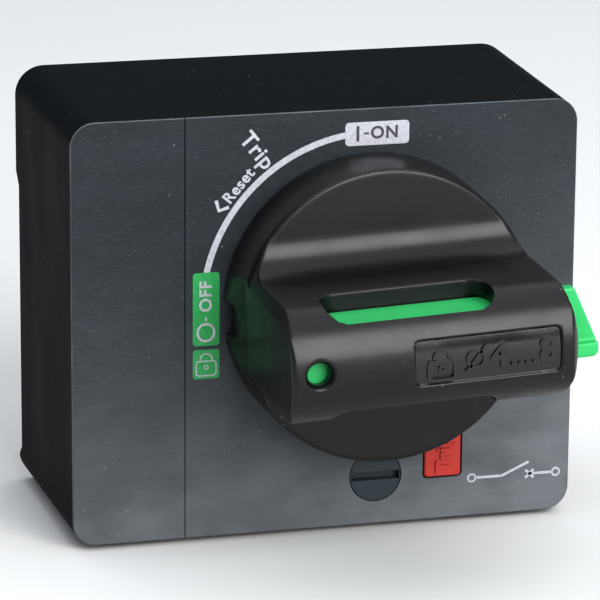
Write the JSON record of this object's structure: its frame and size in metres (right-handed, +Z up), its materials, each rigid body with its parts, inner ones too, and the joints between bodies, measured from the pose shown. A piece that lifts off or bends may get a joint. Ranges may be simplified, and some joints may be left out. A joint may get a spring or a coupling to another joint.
{
  "type": "motor protection breaker",
  "caption": "Box-shaped rotary-handle front unit of a motor protection breaker, with a padlock slide, trip button and a rack drive for the breaker's toggle.",
  "frame": {"origin": "bottom centre of the whole unit's box, grip crest to rear edge", "axes": "+X to the right seen from the front, +Y into the panel away from the handle, +Z up"},
  "size_m": [0.107, 0.0972, 0.0895],
  "materials": {
    "housing_plastic": "smooth satin bluish-black moulded plastic",
    "front_plastic": "finely textured charcoal moulded plastic with printed dial marks",
    "handle_plastic": "satin black moulded plastic",
    "slide_green": "bright green satin plastic",
    "button_red": "red satin plastic with a raised mark",
    "screw_black": "black satin plastic",
    "natural_nylon": "natural off-white nylon",
    "fork_plastic": "black glass-filled plastic",
    "zinc_steel": "zinc-plated steel"
  },
  "bodies": {
    "base": {"housing": "housing_plastic", "front_plate": "front_plastic", "strip_cover": "front_plastic", "shaft_bushing": "natural_nylon", "chassis_plate": "zinc_steel", "chassis_screw_1": "zinc_steel", "chassis_screw_2": "zinc_steel", "chassis_screw_3": "zinc_steel", "chassis_screw_4": "zinc_steel", "guide_rod_inner": "zinc_steel", "guide_rod_outer": "zinc_steel", "mounting_screw_upper": "zinc_steel", "mounting_screw_lower": "zinc_steel"},
    "handle": {"handle": "handle_plastic", "drive_shaft": "zinc_steel", "drive_pinion": "natural_nylon", "shaft_retainer": "zinc_steel"},
    "lock": {"lock_slide": "slide_green"},
    "carriage": {"toggle_carriage": "natural_nylon", "toggle_fork": "fork_plastic", "fork_screw_upper": "zinc_steel", "fork_screw_lower": "zinc_steel"},
    "trip": {"trip_button": "button_red", "trip_rod": "zinc_steel", "trip_spring": "zinc_steel"},
    "release": {"release_screw": "screw_black", "release_cam": "zinc_steel"}
  },
  "joints": [
    {"name": "handle_turn", "type": "hinge", "parent": "base", "child": "handle", "pos_m": [0.00898, -0.0018, 0.04889], "axis": [0, 1, 0], "range_deg": [-6, 92]},
    {"name": "lock_slide_pull", "type": "slide", "parent": "handle", "child": "lock", "axis": [0.999, 0, 0.0436], "range_m": [0, 0.015]},
    {"name": "toggle_carriage_slide", "type": "slide", "parent": "base", "child": "carriage", "axis": [0, 0, 1], "range_m": [-0.0018, 0.0258]},
    {"name": "trip_button_press", "type": "slide", "parent": "base", "child": "trip", "axis": [0, 1, 0], "range_m": [0, 0.003], "stiffness_N_per_m": 500, "springref_m": -0.003, "deforming": ["trip_spring"]},
    {"name": "release_screw_turn", "type": "hinge", "parent": "base", "child": "release", "pos_m": [0.0108, -0.0018, 0.01125], "axis": [0, 1, 0], "range_deg": [0, 90]}
  ],
  "couplings": [
    {"joint": "toggle_carriage_slide", "follows": "handle_turn", "m_per_rad": 0.016}
  ]
}
